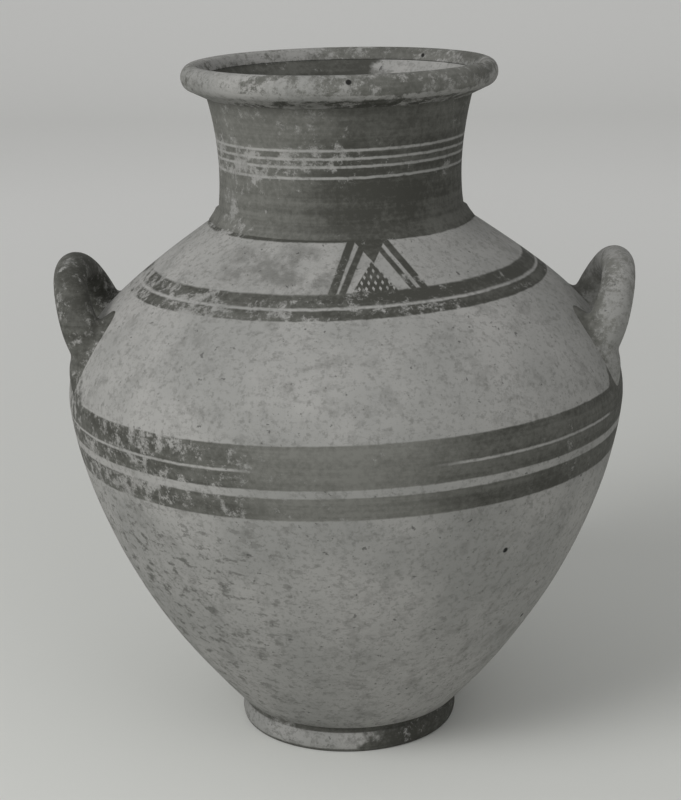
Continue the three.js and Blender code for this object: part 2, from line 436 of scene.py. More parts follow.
class Paint:
    """One node material: its tree, the place on the object, and the masks that the finishes share."""

    def __init__(self, name):
        self.material = bpy.data.materials.new(name)
        self.material.use_nodes = True
        self.tree = self.material.node_tree
        self.tree.nodes.clear()
        self.place = self.add("TexCoord", give="Object")
        self.x, self.y, self.z = self.add("SeparateXYZ", self.place).node.outputs
        self.turn = self.add("Math", self.y, self.x, operation="ARCTAN2")

    def add(self, kind, *inputs, sockets=None, give=0, **settings):
        """Adds a node with its settings, fills its inputs in order or by socket, and gives an output."""
        node = self.tree.nodes.new("ShaderNode" + kind)
        for key, value in settings.items():
            setattr(node, key, value)
        for key, value in [*enumerate(inputs), *(sockets or {}).items()]:
            if isinstance(value, bpy.types.NodeSocket):
                self.tree.links.new(value, node.inputs[key])
            else:
                node.inputs[key].default_value = value
        return None if give is None else node.outputs[give]

    def grain(self, size, stretch=(1, 1, 1), detail=4.0, rough=0.6, shift=0.0):
        """Cloudy grain whose blotches are about one size in metres; shift tells one grain from another."""
        away = (shift, shift * 0.7, shift * 0.3)
        place = self.add("Mapping", self.place, sockets={"Scale": stretch, "Location": away})
        sockets = {"Vector": place, "Scale": 0.5 / size, "Detail": detail, "Roughness": rough}
        return self.add("TexNoise", sockets=sockets)

    def unsteady(self, reach, size, **grain):
        """A wandering either side of nought, as of a brush in a hand that isn't quite steady."""
        wander = self.add("Math", self.grain(size, **grain), 0.5, operation="SUBTRACT")
        return self.add("Math", wander, reach, operation="MULTIPLY")

    def cover(self, under, over, where, strength=1.0):
        """One colour laid over another where a mask says, at a strength."""
        share = self.add("Math", where, strength, operation="MULTIPLY")
        return self.add("Mix", share, sockets={6: under, 7: over}, give=2, data_type="RGBA")

    def band(self, height, low, high, soft=BRUSH_EDGE):
        """One between two heights and nought outside them."""
        rise = self.add("MapRange", height, low - soft, low + soft, *RISE, **SMOOTH)
        fall = self.add("MapRange", height, high - soft, high + soft, *FALL, **SMOOTH)
        return self.add("Math", rise, fall, operation="MULTIPLY")

    def window(self, left, full_left, full_right, right):
        """One on a stretch of the front between azimuths in degrees, fading at both ends."""
        left, full_left, full_right, right = [math.radians(a) for a in (left, full_left, full_right, right)]
        rise = self.add("MapRange", self.turn, left, full_left, *RISE, **SMOOTH)
        fall = self.add("MapRange", self.turn, right, full_right, *RISE, **SMOOTH)
        return self.add("Math", rise, fall, operation="MULTIPLY")

    def patch(self, azimuth, height, half_turn, half_height):
        """One in the middle of an oval patch of the wall, fading to nought at its edge."""
        gap = 0.0
        sideways = (self.turn, math.radians(azimuth), half_turn)
        upright = (self.z, height, half_height)
        for value, middle, half in (sideways, upright):
            away = self.add("Math", value, middle, operation="SUBTRACT")
            share = self.add("Math", away, half, operation="DIVIDE")
            gap = self.add("Math", share, share, gap, operation="MULTIPLY_ADD")
        return self.add("MapRange", gap, 0.2, 1.0, *FALL, **SMOOTH)

    def spot(self, place, radius):
        """One in a small round spot of the surface, fading to nought at its edge."""
        gap = self.add("VectorMath", self.place, place, operation="DISTANCE", give="Value")
        return self.add("MapRange", gap, radius * 0.6, radius, *FALL, **SMOOTH)

    def stroke(self, across, up, start, end, half_width):
        """One on a straight bar between two points, each given across and up."""
        reach = math.dist(start, end)
        dx = (end[0] - start[0]) / reach
        dy = (end[1] - start[1]) / reach
        px = self.add("Math", across, start[0], operation="SUBTRACT")
        py = self.add("Math", up, start[1], operation="SUBTRACT")
        along = self.add("Math", px, dx, operation="MULTIPLY")
        along = self.add("Math", py, dy, along, operation="MULTIPLY_ADD")
        aside = self.add("Math", px, -dy, operation="MULTIPLY")
        aside = self.add("Math", py, dx, aside, operation="MULTIPLY_ADD")
        aside = self.add("Math", aside, operation="ABSOLUTE")
        edges = (half_width - FINE_EDGE, half_width + FINE_EDGE)
        side = self.add("MapRange", aside, *edges, *FALL, **SMOOTH)
        return self.add("Math", side, self.band(along, 0.0, reach, FINE_EDGE), operation="MULTIPLY")

    def most(self, first, *others):
        """The greatest of several masks."""
        for other in others:
            first = self.add("Math", first, other, operation="MAXIMUM")
        return first

    def brushed_height(self, lean, shake=BELLY_SHAKE):
        """Height as the brush held it: leaning across the jar by some degrees, and unsteady round it."""
        slant = self.add("Math", self.x, -math.tan(math.radians(lean)), self.z, operation="MULTIPLY_ADD")
        slow = self.unsteady(2 * shake, 50 * MM, stretch=(1, 1, 0.05), detail=3.0, shift=9.0)
        quick = self.unsteady(1.2 * MM, 4 * MM, detail=2.0, shift=19.0)
        shaken = self.add("Math", slow, quick, operation="ADD")
        return self.add("Math", slant, shaken, operation="ADD")

    def outside(self):
        """One on the outer face of the wall and nought on the inner one, which faces the axis."""
        facing = self.add("NewGeometry", give="Normal")
        from_axis = self.add("VectorMath", self.place, (1.0, 1.0, 0.0), operation="MULTIPLY")
        outwards = self.add("VectorMath", facing, from_axis, operation="DOT_PRODUCT", give="Value")
        return self.add("MapRange", outwards, -0.002, 0.002, *RISE, **SMOOTH)


def triangle(paint):
    """The front's triangle of slip: a latticed core between two pairs of slanting bars, under a dark peak."""
    add = paint.add
    turned = add("Math", paint.turn, math.radians(TRIANGLE_AZIMUTH), operation="SUBTRACT")
    radius = add("VectorMath", paint.place, (1.0, 1.0, 0.0), operation="MULTIPLY")
    radius = add("VectorMath", radius, operation="LENGTH", give="Value")
    across = add("Math", turned, radius, paint.unsteady(2 * MM, 12 * MM), operation="MULTIPLY_ADD")
    up = add("Math", paint.z, TRIANGLE_BASE, operation="SUBTRACT")
    bars = [paint.stroke(across, up, foot, top, half) for foot, top, half in TRIANGLE_BARS]
    # The peak widens upwards from a point near the lattice's top
    aside = add("Math", across, 2 * MM, operation="SUBTRACT")
    aside = add("Math", aside, operation="ABSOLUTE")
    half_peak = add("Math", up, 0.9, operation="MULTIPLY")
    half_peak = add("Math", half_peak, aside, operation="SUBTRACT")
    peak = add("MapRange", half_peak, 18.0 * MM, 19.2 * MM, *RISE, **SMOOTH)
    # The lattice lies between two slanting sides, of which the right one is softer
    from_left = add("Math", up, -1.04, across, operation="MULTIPLY_ADD")
    from_left = add("MapRange", from_left, -23.0 * MM, -22.0 * MM, *RISE, **SMOOTH)
    from_right = add("Math", up, 0.91, across, operation="MULTIPLY_ADD")
    from_right = add("MapRange", from_right, 20.5 * MM, 18.5 * MM, *RISE, **SMOOTH)
    inside = add("Math", from_left, from_right, operation="MULTIPLY")
    inside = add("Math", inside, paint.band(up, -1 * MM, LATTICE_TOP), operation="MULTIPLY")
    strands = []
    for lean in (LATTICE_LEAN, -LATTICE_LEAN):
        run = add("Math", up, lean, across, operation="MULTIPLY_ADD")
        wave = add("Math", run, 1 / LATTICE_PITCH, operation="MULTIPLY")
        wave = add("Math", wave, operation="FRACT")
        wave = add("Math", wave, 0.5, operation="SUBTRACT")
        wave = add("Math", wave, operation="ABSOLUTE")
        strands.append(add("MapRange", wave, 0.25, 0.33, *FALL, **SMOOTH))
    lattice = add("Math", inside, paint.most(*strands), operation="MULTIPLY")
    return paint.most(*bars, peak, lattice)


def jar_paint(name, slip_on, wear, thinness, colours, pits=None, bump=0.35):
    """Low-fired clay under brushed slip: where it was laid, how much has flaked off and how thin it is."""
    paint = Paint(name)
    add = paint.add
    soot = linear(colours.clay_dark)
    pit = linear(colours.pit)
    # Clay: cloudy patches of 60 mm, mottling of 12 mm, specks of 2.4 mm and grit of 1.5 mm
    clouds = paint.grain(60 * MM, detail=3.0)
    mottle = paint.grain(12 * MM, detail=5.0, rough=0.7, shift=3.0)
    speck = paint.grain(2.4 * MM, detail=4.0, rough=0.7, shift=27.0)
    grit = paint.grain(1.5 * MM, detail=2.0, shift=7.0)
    rubbed = add("MapRange", clouds, 0.35, 0.7, *RISE, **SMOOTH)
    clay = paint.cover(linear(colours.clay), linear(colours.clay_light), rubbed)
    clay = paint.cover(clay, soot, add("MapRange", mottle, 0.5, 0.3, *RISE, **SMOOTH), 0.36)
    clay = paint.cover(clay, soot, add("MapRange", speck, 0.5, 0.34, *RISE, **SMOOTH), 0.42)
    smudge = add("MapRange", mottle, 0.62, 0.4, *RISE, **SMOOTH)
    smudge = add("Math", paint.patch(*SMUDGE), smudge, operation="MULTIPLY")
    clay = paint.cover(clay, soot, smudge, 0.5)
    # Soil pitting of 6 mm gathers on the lower left of the body, with open pores of 2.8 mm all over
    left = add("MapRange", paint.x, *SOIL_SIDE, *RISE, **SMOOTH)
    low = add("MapRange", paint.z, *SOIL_HEIGHT, *RISE, **SMOOTH)
    soil = add("Math", low, left, operation="MULTIPLY")
    soil = add("Math", soil, 0.75, 0.2, operation="MULTIPLY_ADD")
    spots = paint.grain(6 * MM, stretch=(1, 1, 1.6), detail=6.0, rough=0.75, shift=11.0)
    spots = add("MapRange", spots, 0.47, 0.40, *RISE, **SMOOTH)
    pitting = add("Math", spots, soil, operation="MULTIPLY")
    clay = paint.cover(clay, soot, pitting)
    pores = paint.grain(2.8 * MM, detail=3.0, shift=21.0)
    pores = add("MapRange", pores, 0.34, 0.29, *RISE, **SMOOTH)
    clay = paint.cover(clay, pit, pores, 0.55)
    # Slip: brushed round the jar, so it streaks along the turning, and thins to a faded grey
    streaks = paint.grain(30 * MM, stretch=(0.25, 0.25, 9.0), detail=4.0, shift=2.0)
    patches = paint.grain(35 * MM, detail=3.0, shift=15.0)
    uneven = add("Math", speck, 0.35, operation="MULTIPLY")
    uneven = add("Math", patches, 0.35, uneven, operation="MULTIPLY_ADD")
    uneven = add("Math", streaks, 0.3, uneven, operation="MULTIPLY_ADD")
    uneven = add("MapRange", uneven, 0.36, 0.66, -0.35, 0.35, **SMOOTH)
    faded = add("Math", uneven, thinness(paint), operation="ADD", use_clamp=True)
    slip = paint.cover(linear(colours.slip), linear(colours.slip_faded), faded)
    # It flakes off in chips of 6 mm that gather in patches of 35 mm
    chips = paint.grain(6 * MM, detail=8.0, rough=0.8, shift=31.0)
    gathered = paint.grain(35 * MM, detail=2.0, shift=41.0)
    flaking = add("Math", gathered, 0.3, operation="MULTIPLY")
    flaking = add("Math", chips, 0.7, flaking, operation="MULTIPLY_ADD")
    flaking = add("Math", flaking, wear(paint), operation="ADD")
    kept = add("MapRange", flaking, 0.58, 0.66, 1.0, 0.1, **SMOOTH)
    laid = add("Math", slip_on(paint), kept, operation="MULTIPLY")
    base = paint.cover(clay, slip, laid)
    if pits:
        base = paint.cover(base, pit, pits(paint))
    # Bare clay is dry and matt, and the slip keeps a faint sheen
    roughness = add("Math", laid, -0.2, 0.9, operation="MULTIPLY_ADD")
    # Turning lines of 4 mm, grit, mottling and the thickness of the slip raise the surface, and pits sink it
    turning = paint.grain(12 * MM, stretch=(0.1, 0.1, 3.0), detail=2.0, shift=5.0)
    relief = add("Math", turning, 0.5, operation="MULTIPLY")
    for texture, share in ((grit, 0.25), (mottle, 0.5), (laid, 0.12), (pitting, -0.3)):
        relief = add("Math", texture, share, relief, operation="MULTIPLY_ADD")
    raised = add("Bump", sockets={"Strength": bump, "Distance": 1.2 * MM, "Height": relief})
    surface = {"Base Color": base, "Roughness": roughness, "Normal": raised}
    shader = add("BsdfPrincipled", sockets={**surface, "IOR": 1.45, "Specular IOR Level": 0.3})
    add("OutputMaterial", shader, give=None)
    return paint.material


def slip_all_over(paint):
    """Slip on the whole piece."""
    return 1.0


def body_slip(paint):
    """Belly bands, shoulder rings, the neck's foot, the front's triangle and the runs under the handles."""
    add = paint.add
    belly = paint.brushed_height(BELLY_LEAN)
    # The thin reserved line has been painted over in the middle of the front
    bare = add("Math", 1.0, paint.window(*LINE_OVERPAINTED), operation="SUBTRACT")
    line = add("Math", paint.band(belly, *BELLY_LINE), bare, operation="MULTIPLY")
    upper_band = add("Math", paint.band(belly, *BELLY_BAND), line, operation="SUBTRACT")
    bands = paint.most(upper_band, paint.band(belly, *LOWER_BAND))
    shoulder = paint.brushed_height(SHOULDER_LEAN, SHOULDER_SHAKE)
    rings = paint.most(paint.band(shoulder, *UPPER_RING), paint.band(shoulder, *LOWER_RING, FINE_EDGE))
    foot_of_neck = paint.brushed_height(NECK_SLIP_LEAN)
    foot_of_neck = add("MapRange", foot_of_neck, *NECK_SLIP_EDGE, *RISE, **SMOOTH)
    side = add("Math", paint.x, operation="ABSOLUTE")
    side = add("Math", side, paint.unsteady(30 * MM, 18 * MM, detail=5.0, shift=23.0), operation="ADD")
    run = add("MapRange", side, *RUN_EDGE, *RISE, **SMOOTH)
    run = add("Math", run, paint.band(paint.z, *RUN_HEIGHTS, RUN_FADE), operation="MULTIPLY")
    laid = paint.most(bands, rings, foot_of_neck, triangle(paint), run)
    return add("Math", laid, paint.outside(), operation="MULTIPLY")


def body_wear(paint):
    """Slip has flaked most on the left of the body, and a little more on the shoulder than below it."""
    left = paint.add("MapRange", paint.x, *BODY_FLAKED, 0.0, 0.1, **SMOOTH)
    shoulder = paint.add("MapRange", paint.z, *SHOULDER_START, 0.0, 0.045, **SMOOTH)
    return paint.add("Math", left, shoulder, operation="ADD")


def body_thin(paint):
    """The middle of the belly bands has worn to mid grey, and the shoulder's slip is nearly whole."""
    belly = paint.add("MapRange", paint.z, *BELLY_END, *RISE, **SMOOTH)
    belly = paint.add("Math", paint.window(*BELLY_FADED), belly, operation="MULTIPLY")
    rest = paint.add("MapRange", paint.z, *SHOULDER_START, 0.3, 0.1, **SMOOTH)
    return paint.add("Math", belly, 0.48, rest, operation="MULTIPLY_ADD")


def neck_slip_and_inner_shade(paint):
    """The outside of the neck but for four thin reserved lines, and the left half of its inside as painted
    shade, where the inner wall faces away from the light.
    """
    add = paint.add
    height = paint.brushed_height(NECK_LINE_LEAN, NECK_SHAKE)
    edges = [(middle - NECK_LINE_HALF, middle + NECK_LINE_HALF) for middle in NECK_LINES]
    lines = paint.most(*[paint.band(height, *edge, FINE_EDGE) for edge in edges])
    outer = paint.outside()
    painted = add("Math", 1.0, lines, operation="SUBTRACT")
    painted = add("Math", painted, outer, operation="MULTIPLY")
    # Painted shade on the left half of the inside, whose wall faces away from the light
    across = add("Math", paint.x, paint.unsteady(90 * MM, 20 * MM, detail=5.0, shift=13.0), operation="ADD")
    shaded_left_half = add("MapRange", across, *NECK_INSIDE_SHADE_EDGE, *RISE, **SMOOTH)
    inner = add("Math", 1.0, outer, operation="SUBTRACT")
    inner = add("Math", shaded_left_half, inner, operation="MULTIPLY")
    return paint.most(painted, inner)


def neck_wear(paint):
    """The left of the neck has lost most of its slip, above all at the lines."""
    left = paint.add("MapRange", paint.x, *NECK_FLAKED, 0.0, 0.065, **SMOOTH)
    across = paint.add("MapRange", paint.x, *NECK_LINES_FLAKED, 0.01, 0.07, **SMOOTH)
    lines = paint.band(paint.z, *NECK_LINES_ZONE, NECK_LINES_FADE)
    return paint.add("Math", lines, across, left, operation="MULTIPLY_ADD")


def neck_thin_and_inner_shade(paint):
    """Thinnest on the left and at the top of the outside, and nearly whole inside, where the dark slip is
    painted shade.
    """
    left = paint.add("MapRange", paint.x, *NECK_FADED, 0.0, 0.5, **SMOOTH)
    top = paint.add("MapRange", paint.z, *NECK_TOP_FADED, 0.14, 0.42, **SMOOTH)
    thin = paint.add("Math", left, top, operation="ADD")
    # Inside, the slip is kept dark as painted shade
    outer = paint.add("MapRange", paint.outside(), *RISE, 0.1, 1.0, **SMOOTH)
    return paint.add("Math", thin, outer, operation="MULTIPLY")


def rim_wear_and_highlight(paint):
    """The lip is rubbed nearly bare at the left and blotched elsewhere, with a painted highlight along the
    lower edge of its face.
    """
    left = paint.add("MapRange", paint.x, *LIP_FLAKED, 0.09, 0.165, **SMOOTH)
    # A painted highlight along the lip's lower edge, laid as extra flaking
    under = paint.band(paint.z, *LIP_EDGE_HIGHLIGHT, 1 * MM)
    return paint.add("Math", under, 0.1, left, operation="MULTIPLY_ADD")


def rim_thin_and_shade(paint):
    """Worn to mid grey all round, and kept dark under the lip as painted shade."""
    # Dark slip under the lip stands for the shade beneath it
    return paint.add("MapRange", paint.z, *LIP_SHADE_EDGE, 0.1, 0.62, **SMOOTH)


def left_handle_wear(paint):
    """Light wear with the outer edge rubbed clean."""
    return paint.add("MapRange", paint.x, *LEFT_HANDLE_FLAKED, 0.05, 0.15, **SMOOTH)


def left_handle_thin(paint):
    """Nearly whole, and thinner where the coil was gripped."""
    return paint.add("MapRange", paint.x, *LEFT_HANDLE_FADED, 0.2, 0.62, **SMOOTH)


def right_handle_wear(paint):
    """Rubbed more than the other handle."""
    return paint.add("MapRange", paint.x, *RIGHT_HANDLE_FLAKED, 0.05, 0.17, **SMOOTH)


def right_handle_thin(paint):
    """Worn to pale grey on its outer side."""
    return paint.add("MapRange", paint.x, *RIGHT_HANDLE_FADED, 0.4, 1.0, **SMOOTH)


def foot_slip_and_shade(paint):
    """Slip and painted shade in the groove over the moulding, and painted shade along its lower edge and,
    ragged, over its right half, which faces away from the light.
    """
    # Slip in the groove, which also stands for the shade in the recess
    groove = paint.add("MapRange", paint.z, *FOOT_GROOVE_EDGE, *RISE, **SMOOTH)
    # Painted shade under the moulding, along its lower edge
    under = paint.band(paint.z, *FOOT_UNDER_SHADE)
    # Painted shade over the right half, away from the light
    ragged = paint.unsteady(160 * MM, 16 * MM, detail=6.0, shift=17.0)
    right = paint.add("Math", paint.x, ragged, operation="ADD")
    right = paint.add("MapRange", right, *FOOT_SHADE_SIDE_EDGE, *RISE, **SMOOTH)
    return paint.most(groove, under, right)


def foot_wear(paint):
    """Rubbed at the front and more at the left."""
    return paint.add("MapRange", paint.x, *FOOT_FLAKED, 0.02, 0.07, **SMOOTH)


def foot_thin_and_shade(paint):
    """Thin everywhere but on the right, where the slip is kept dark as painted shade."""
    # The slip is kept darkest on the right as painted shade
    return paint.add("MapRange", paint.x, *FOOT_FADED_TO_SHADE, 0.1, 0.4, **SMOOTH)


def chips_of_body(paint):
    """Two small crumbled chips low on the front of the body."""
    chips = paint.most(*[paint.patch(*chip) for chip in BODY_CHIPS])
    crumbled = paint.add("MapRange", paint.grain(3 * MM, detail=2.0), 0.4, 0.5, *RISE, **SMOOTH)
    return paint.add("Math", chips, crumbled, operation="MULTIPLY")


def pits_of_rim(paint):
    """Three open pits on the far side of the lip and one at the front."""
    return paint.most(*[paint.spot(place, radius) for place, radius in LIP_PITS])


class JAR_OT_foot(bpy.types.Operator):
    """Builds the ring foot with its rounded moulding"""

    bl_idname = "jar.foot"
    bl_label = "Foot ring"

    def execute(self, context):
        colours = context.scene.jar_colours
        sizes = context.scene.jar_sizes
        wide = sizes.foot_radius + MOULDING_PULL
        groove = (GROOVE_RADIUS, MOULDING_TOP + MOULDING_PULL)
        moulding = cubic((REST_RADIUS, 0), (wide, 0), (wide, MOULDING_TOP), groove, 12)
        top = sizes.foot_height - SEAM
        bore = points((BORE_RADIUS, top), (BORE_RADIUS, BORE_TAPER), (BORE_RADIUS - REST_INSET, 0))
        mesh = spun(softened(moulding + points((FOOT_TOP_RADIUS, top)) + bore, SOFT_CORNER))
        # Earthenware rubbed where the jar was set down: dry and matt, with dark slip and painted shade in the
        # groove, and painted shade under the moulding and on its right
        name = "Fired clay, slip and painted shade on the foot"
        clay = jar_paint(name, foot_slip_and_shade, foot_wear, foot_thin_and_shade, colours)
        finish_piece(mesh, "turned_foot_ring", "foot_ring", clay)
        return {"FINISHED"}


class JAR_OT_body(bpy.types.Operator):
    """Builds the lower and the upper wall, lapped at the belly"""

    bl_idname = "jar.body"
    bl_label = "Body walls"

    def execute(self, context):
        colours = context.scene.jar_colours
        sizes = context.scene.jar_sizes
        # Low-fired earthenware with slip brushed on as it turned: a dry ground and dark bands with soft edges
        name = "Fired clay with brushed slip bands"
        clay = jar_paint(name, body_slip, body_wear, body_thin, colours, chips_of_body)
        belly = sizes.belly_radius
        inside = belly - sizes.wall
        lap = belly - sizes.wall / 2
        lap_top = sizes.belly_height + BELLY_LAP
        boss = BORE_RADIUS - SEAM
        outer = lower_wall(sizes)
        outline = points((0, BOSS_BOTTOM), (BOSS_FLAT_RADIUS, BOSS_BOTTOM + BOSS_RISE))
        outline += points((boss, BOSS_EDGE), (boss, sizes.foot_height)) + outer
        outline += points((lap, sizes.belly_height), (lap, lap_top), (inside, lap_top))
        outline += list(reversed(inset(outer, sizes.wall)))
        outline += points((0, FLOOR_TOP))
        finish_piece(spun(outline, closed=False), "thrown_lower_wall", "lower_body", clay)
        # The outer face is luted all but shut, so that the join doesn't show as a dark line
        seat = sizes.belly_height + HAIRLINE
        bore = sizes.neck_radius - NECK_THICKNESS + SPIGOT_WALL + SEAM
        outer = upper_wall(sizes)
        clear = seat + BELLY_LAP + SOFT_CORNER
        inner = [p for p in inset(outer, sizes.wall) if p.y > clear and p.x > bore]
        outline = points((lap + SEAM, seat), (belly, seat)) + outer[1:]
        outline += points((bore, sizes.shoulder_height), (bore, inner[-1].y))
        outline += list(reversed(inner))
        outline += points((inside, lap_top + SEAM), (lap + SEAM, lap_top + SEAM))
        finish_piece(spun(outline), "thrown_upper_wall", "upper_body", clay)
        return {"FINISHED"}


class JAR_OT_neck(bpy.types.Operator):
    """Builds the neck and the coil pressed round its seam"""

    bl_idname = "jar.neck"
    bl_label = "Neck and seam coil"

    def execute(self, context):
        colours = context.scene.jar_colours
        sizes = context.scene.jar_sizes
        # Earthenware under one coat of slip: an even dark skin cut by pale lines, worn through at the left,
        # with painted shade on the left half of the inside
        name = "Slip-painted clay with reserved lines"
        slip = jar_paint(name, neck_slip_and_inner_shade, neck_wear, neck_thin_and_inner_shade, colours)
        outer = neck_wall(sizes)
        seat = sizes.shoulder_height + SEAM
        bore = sizes.neck_radius - NECK_THICKNESS
        spigot = bore + SPIGOT_WALL
        mouth = sizes.jar_height - LIP_HALF_HEIGHT
        outline = points((bore, seat - SPIGOT_LENGTH), (spigot, seat - SPIGOT_LENGTH), (spigot, seat))
        outline += points((sizes.neck_radius, seat)) + outer
        outline += points((MOUTH_RADIUS, mouth), (MOUTH_RADIUS - MOUTH_EDGE_WIDTH, mouth))
        outline += list(reversed(inset(outer, NECK_THICKNESS)))
        finish_piece(spun(outline), "thrown_neck", "neck", slip)
        inner = sizes.neck_radius - COIL_BITE
        coil = cubic(*[(inner + out, seat + up) for out, up in COIL_OUTLINE], 8)
        mesh = spun(coil + points((inner, seat + COIL_HEEL)))
        for vert in mesh.verts:
            out = Vector((vert.co.x, vert.co.y, 0))
            swell = max(0, (abs(out.normalized().x) - NUB_EDGE) / (1 - NUB_EDGE)) * NUB
            if out.length > inner + SOFT_CORNER:
                vert.co += out.normalized() * swell
        finish_piece(mesh, "luted_seam_coil", "neck_collar", slip)
        return {"FINISHED"}


class JAR_OT_rim(bpy.types.Operator):
    """Builds the thick rolled lip"""

    bl_idname = "jar.rim"
    bl_label = "Lip"

    def execute(self, context):
        colours = context.scene.jar_colours
        sizes = context.scene.jar_sizes
        # Slip over a clay lip that lids and hands have rubbed: a blotched mid grey, with a painted highlight
        # along its lower edge and painted shade underneath
        name = "Rubbed slip on a clay lip, with painted highlight and shade"
        slip = jar_paint(name, slip_all_over, rim_wear_and_highlight, rim_thin_and_shade, colours, pits_of_rim)
        middle = sizes.jar_height - LIP_HALF_HEIGHT
        outline = points((NECK_TOP_RADIUS + SEAM, sizes.shoulder_height + NECK_TOP))
        for i in range(LIP_STEPS + 1):
            angle = math.radians(LIP_FROM + i * LIP_SWEEP / LIP_STEPS)
            out = LIP_RADIUS + LIP_HALF_WIDTH * math.cos(angle)
            outline += points((out, middle + LIP_HALF_HEIGHT * math.sin(angle)))
        seat = middle + SEAM
        outline += points((MOUTH_RADIUS - MOUTH_EDGE_WIDTH, seat), (MOUTH_RADIUS + LIP_OVERHANG, seat))
        mesh = spun(softened(outline, SOFT_CORNER))
        finish_piece(mesh, "rolled_lip", "rim", slip)
        return {"FINISHED"}


def smear(mesh, sizes, side):
    """A patch of clay pressed on the wall round one root of the coil, feathered out at its edge."""
    radius, _ = wall_radius(sizes, SMEAR_HEIGHT)
    middle = side * math.asin(HANDLE_HALF_SPAN / radius)
    ball = bmesh.ops.create_uvsphere(mesh, u_segments=32, v_segments=16, radius=1.0)
    for vert in ball["verts"]:
        share = math.hypot(vert.co.x, vert.co.y)
        lift = -BURIED_DEPTH
        if vert.co.z > 0:
            lift = SMEAR_LIFT * (1 - share ** 2) ** 1.6 - SMEAR_FEATHER
        height = SMEAR_HEIGHT + vert.co.y * SMEAR_HALF_LENGTH
        here, facing = wall_radius(sizes, height)
        azimuth = middle + vert.co.x * SMEAR_HALF_WIDTH / here
        spot = here + facing.x * lift
        vert.co = Vector((spot * math.cos(azimuth), spot * math.sin(azimuth), height + facing.y * lift))


def coil_handle(sizes):
    """The right handle as one smooth lump: the bent coil and its two smeared roots, rubbed round."""
    mesh = bmesh.new()
    root, _ = wall_radius(sizes, HANDLE_HEIGHT)
    lean = Vector((math.cos(HANDLE_CANT), math.sin(HANDLE_CANT)))
    rings = []
    for i in range(HANDLE_STEPS + 1):
        angle = math.radians(-HANDLE_BURIED + i * HANDLE_SWEEP / HANDLE_STEPS)
        reach = HANDLE_REACH * math.sin(angle)
        span = HANDLE_HALF_SPAN * math.cos(angle)
        centre = Vector((root + reach * lean.x, span, HANDLE_HEIGHT + reach * lean.y))
        run = Vector((-math.sin(angle) * HANDLE_HALF_SPAN, math.cos(angle) * HANDLE_REACH)).normalized()
        along = Vector((run.y * lean.x, run.x, run.y * lean.y))
        swell = 1 + ROOT_SWELL * abs(math.cos(angle)) ** 6
        circle = bmesh.ops.create_circle(mesh, segments=HANDLE_SIDES, radius=sizes.coil / 2 * swell)
        turn = along.to_track_quat("Z", "Y").to_matrix().to_4x4()
        bmesh.ops.transform(mesh, matrix=Matrix.Translation(centre) @ turn, verts=circle["verts"])
        rings.append(set(circle["verts"]))
    for low, high in zip(rings, rings[1:]):
        edges = [e for e in mesh.edges if low.issuperset(e.verts) or high.issuperset(e.verts)]
        bmesh.ops.bridge_loops(mesh, edges=edges)
    bmesh.ops.holes_fill(mesh, edges=[e for e in mesh.edges if e.is_boundary])
    for side in (1, -1):
        smear(mesh, sizes, side)
    bmesh.ops.recalc_face_normals(mesh, faces=mesh.faces)
    data = bpy.data.meshes.new("handle lump")
    mesh.to_mesh(data)
    mesh.free()
    lump = bpy.data.objects.new("handle lump", data)
    bpy.context.scene.collection.objects.link(lump)
    remesh = lump.modifiers.new("One lump", "REMESH")
    remesh.mode = "VOXEL"
    remesh.voxel_size = LUMP_VOXEL
    graph = bpy.context.evaluated_depsgraph_get()
    joined = bpy.data.meshes.new_from_object(lump.evaluated_get(graph))
    bpy.data.objects.remove(lump)
    mesh = bmesh.new()
    mesh.from_mesh(joined)
    every_way = {"use_axis_x": True, "use_axis_y": True, "use_axis_z": True}
    for _ in range(RUBBINGS):
        bmesh.ops.smooth_vert(mesh, verts=mesh.verts, factor=0.5, **every_way)
    # Nothing of the lump reaches through the wall
    for vert in mesh.verts:
        if vert.co.z < sizes.shoulder_height:
            wall, _ = wall_radius(sizes, max(vert.co.z, sizes.belly_height))
            least = wall - BURIED_DEPTH
            reach = math.hypot(vert.co.x, vert.co.y)
            if reach < least:
                vert.co.x *= least / reach
                vert.co.y *= least / reach
    return mesh


class JAR_OT_handles(bpy.types.Operator):
    """Builds the two loop handles with their smeared roots"""

    bl_idname = "jar.handles"
    bl_label = "Handles"

    def execute(self, context):
        colours = context.scene.jar_colours
        sizes = context.scene.jar_sizes
        right = coil_handle(sizes)
        left = right.copy()
        bmesh.ops.rotate(left, verts=left.verts, cent=(0, 0, 0), matrix=Matrix.Rotation(math.pi, 3, "Z"))
        # Slip over rolled clay, rubbed thin by hands: pale grey along the outside of the coil
        name = "Rubbed slip on the right coil"
        slip = jar_paint(name, slip_all_over, right_handle_wear, right_handle_thin, colours, bump=0.5)
        finish_piece(right, "right_loop_handle", "right_handle", slip)
        # The same slip with less wear: dark, with pale blotches at its outer edge
        name = "Blotched slip on the left coil"
        slip = jar_paint(name, slip_all_over, left_handle_wear, left_handle_thin, colours, bump=0.5)
        finish_piece(left, "left_loop_handle", "left_handle", slip)
        return {"FINISHED"}


def plain_floor(colours):
    """Matt card, seen by the camera as a plain pale ground that keeps the jar's shadow."""
    paint = Paint("Matt pale card")
    add = paint.add
    # The camera sees the card lighten with distance, while the jar is lit by its true colour
    aside = add("Math", paint.x, operation="ABSOLUTE")
    away = add("Math", aside, 0.4, paint.y, operation="MULTIPLY_ADD")
    far = add("MapRange", away, *CARD_FALL_OFF, *RISE, **SMOOTH)
    seen = add("Math", add("LightPath", give="Is Camera Ray"), far, operation="MULTIPLY")
    card = paint.cover(linear(colours.floor), linear(colours.floor_far), seen)
    sockets = {"Base Color": card, "Roughness": 1.0, "Specular IOR Level": 0.0}
    shader = add("BsdfPrincipled", sockets=sockets)
    add("OutputMaterial", shader, give=None)
    return paint.material


